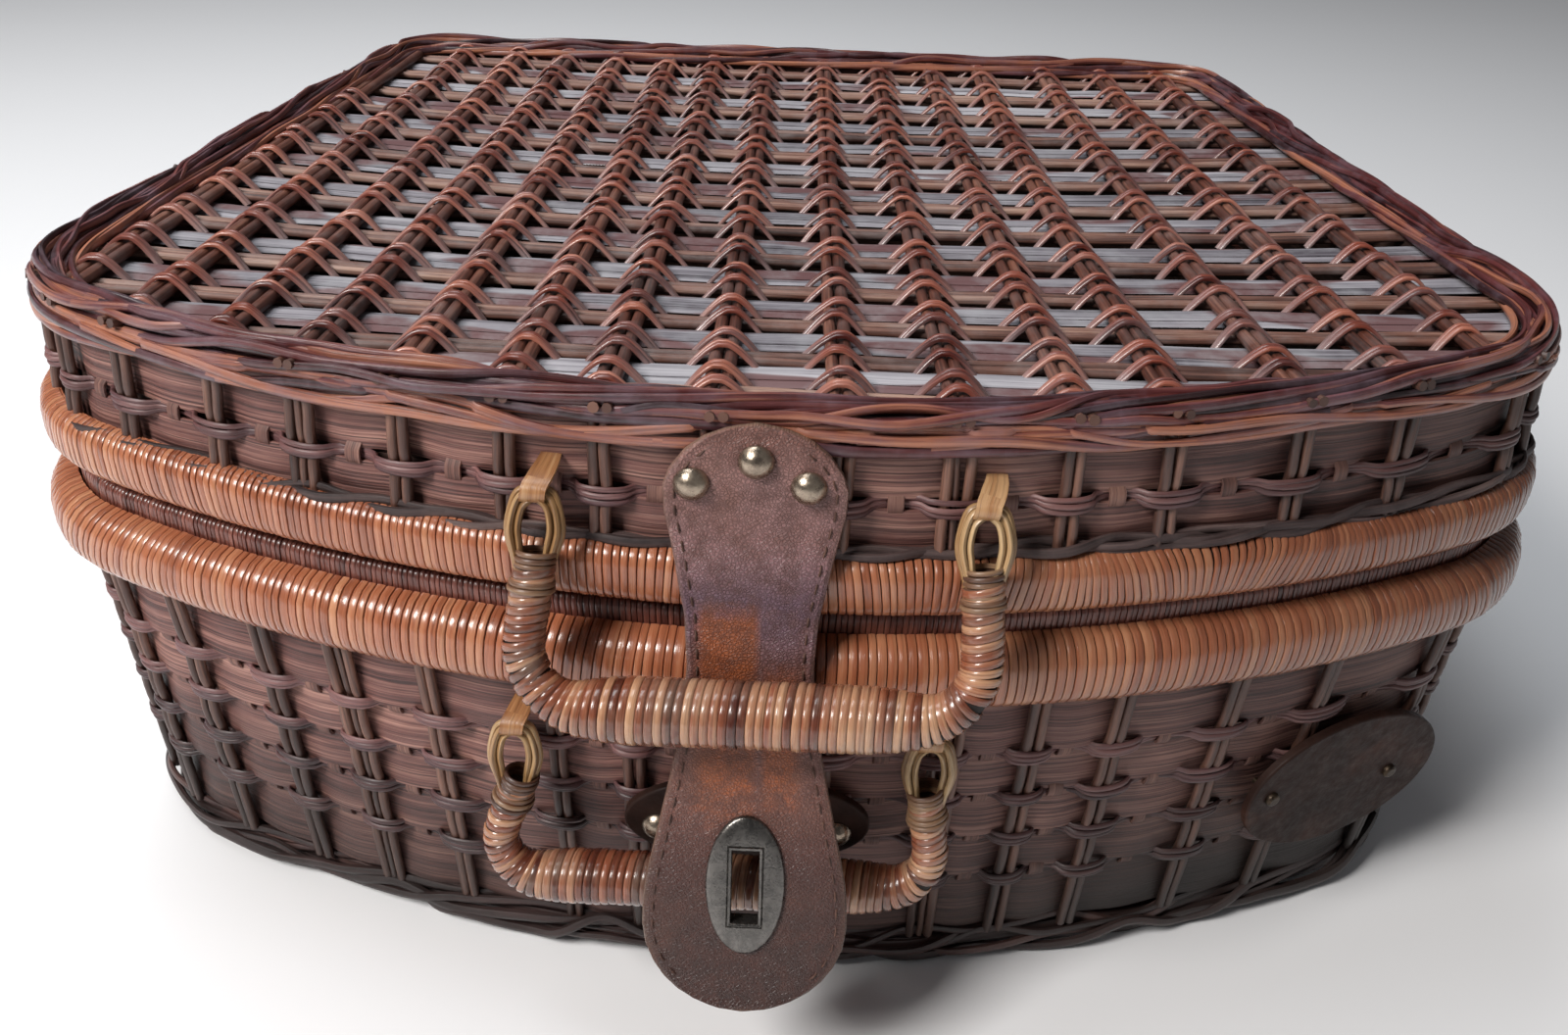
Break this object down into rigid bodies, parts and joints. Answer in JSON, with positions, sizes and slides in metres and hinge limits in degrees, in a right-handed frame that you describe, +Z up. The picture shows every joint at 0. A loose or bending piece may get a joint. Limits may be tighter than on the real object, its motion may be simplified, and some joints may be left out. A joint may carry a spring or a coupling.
{
  "type": "picnic hamper",
  "caption": "Woven wicker picnic hamper: hinged lid tray over a deep base tray, wrapped cane bands, two drop handles and a leather strap with turn lock.",
  "frame": {"origin": "middle of the part's box on the plane it stands on", "axes": "+X to the right seen from the front, across the width; +Y from the front with the strap to the back with the hinges; +Z up"},
  "size_m": [0.4896, 0.4632, 0.216],
  "materials": {
    "splint": "dry, dark stained",
    "willow_rod": "dry, half varnished",
    "twisted_border": "half gloss",
    "wrapped_cane": "varnished gloss",
    "weathered_slat": "weathered matte",
    "pale_cane": "varnished satin",
    "handle_wrap": "varnished gloss",
    "leather": "worn satin",
    "stud_brass": "antique",
    "aged_brass": "antique, tarnished",
    "hinge_pin": "satin"
  },
  "bodies": {
    "base": {"base_floor": "splint", "base_foot_border": "twisted_border", "base_wall": "splint", "base_side_stakes": "willow_rod", "base_rim_band": "wrapped_cane", "base_lip_ring": "wrapped_cane", "clasp_backing": "leather", "clasp_backing_studs": "stud_brass", "clasp_post": "aged_brass", "clasp_washers": "aged_brass", "side_badge": "leather", "side_badge_rivets": "stud_brass", "lower_handle_tabs": "pale_cane", "lower_handle_pegs": "willow_rod", "base_hinge_loops": "pale_cane", "hinge_pins": "hinge_pin"},
    "lid": {"lid_wall": "splint", "lid_side_stakes": "willow_rod", "lid_rim_band": "wrapped_cane", "lid_rim_border": "twisted_border", "lid_top_slats": "weathered_slat", "lid_top_rods": "willow_rod", "lid_top_stakes": "willow_rod", "lid_hinge_loops": "pale_cane", "strap_head": "leather", "strap_studs": "stud_brass", "strap_washers": "aged_brass", "upper_handle_tabs": "pale_cane", "upper_handle_pegs": "willow_rod"},
    "upper_handle": {"upper_handle_grip": "handle_wrap", "upper_handle_eyes": "pale_cane"},
    "lower_handle": {"lower_handle_grip": "handle_wrap", "lower_handle_eyes": "pale_cane"},
    "strap_end": {"strap_flap": "leather", "eyelet_plate_front": "aged_brass", "eyelet_plate_back": "aged_brass"},
    "lock_button": {"turn_button": "aged_brass"}
  },
  "joints": [
    {"name": "lid_hinge", "type": "hinge", "parent": "base", "child": "lid", "pos_m": [0, 0.22609, 0.148], "axis": [-1, 0, 0], "range_deg": [0, 105]},
    {"name": "upper_handle_hinge", "type": "hinge", "parent": "lid", "child": "upper_handle", "pos_m": [-0.006, -0.19341, 0.1855], "axis": [-1, 0, 0], "range_deg": [0, 150]},
    {"name": "lower_handle_hinge", "type": "hinge", "parent": "base", "child": "lower_handle", "pos_m": [-0.015, -0.19191, 0.107], "axis": [-1, 0, 0], "range_deg": [0, 12]},
    {"name": "strap_bend", "type": "hinge", "parent": "lid", "child": "strap_end", "pos_m": [-0.0075, -0.20211, 0.118], "axis": [-1, 0, 0], "range_deg": [0, 68]},
    {"name": "button_turn", "type": "hinge", "parent": "base", "child": "lock_button", "pos_m": [-0.0075, -0.18977, 0.07476], "axis": [0, -0.9926, -0.1217], "range_deg": [0, 90]}
  ]
}
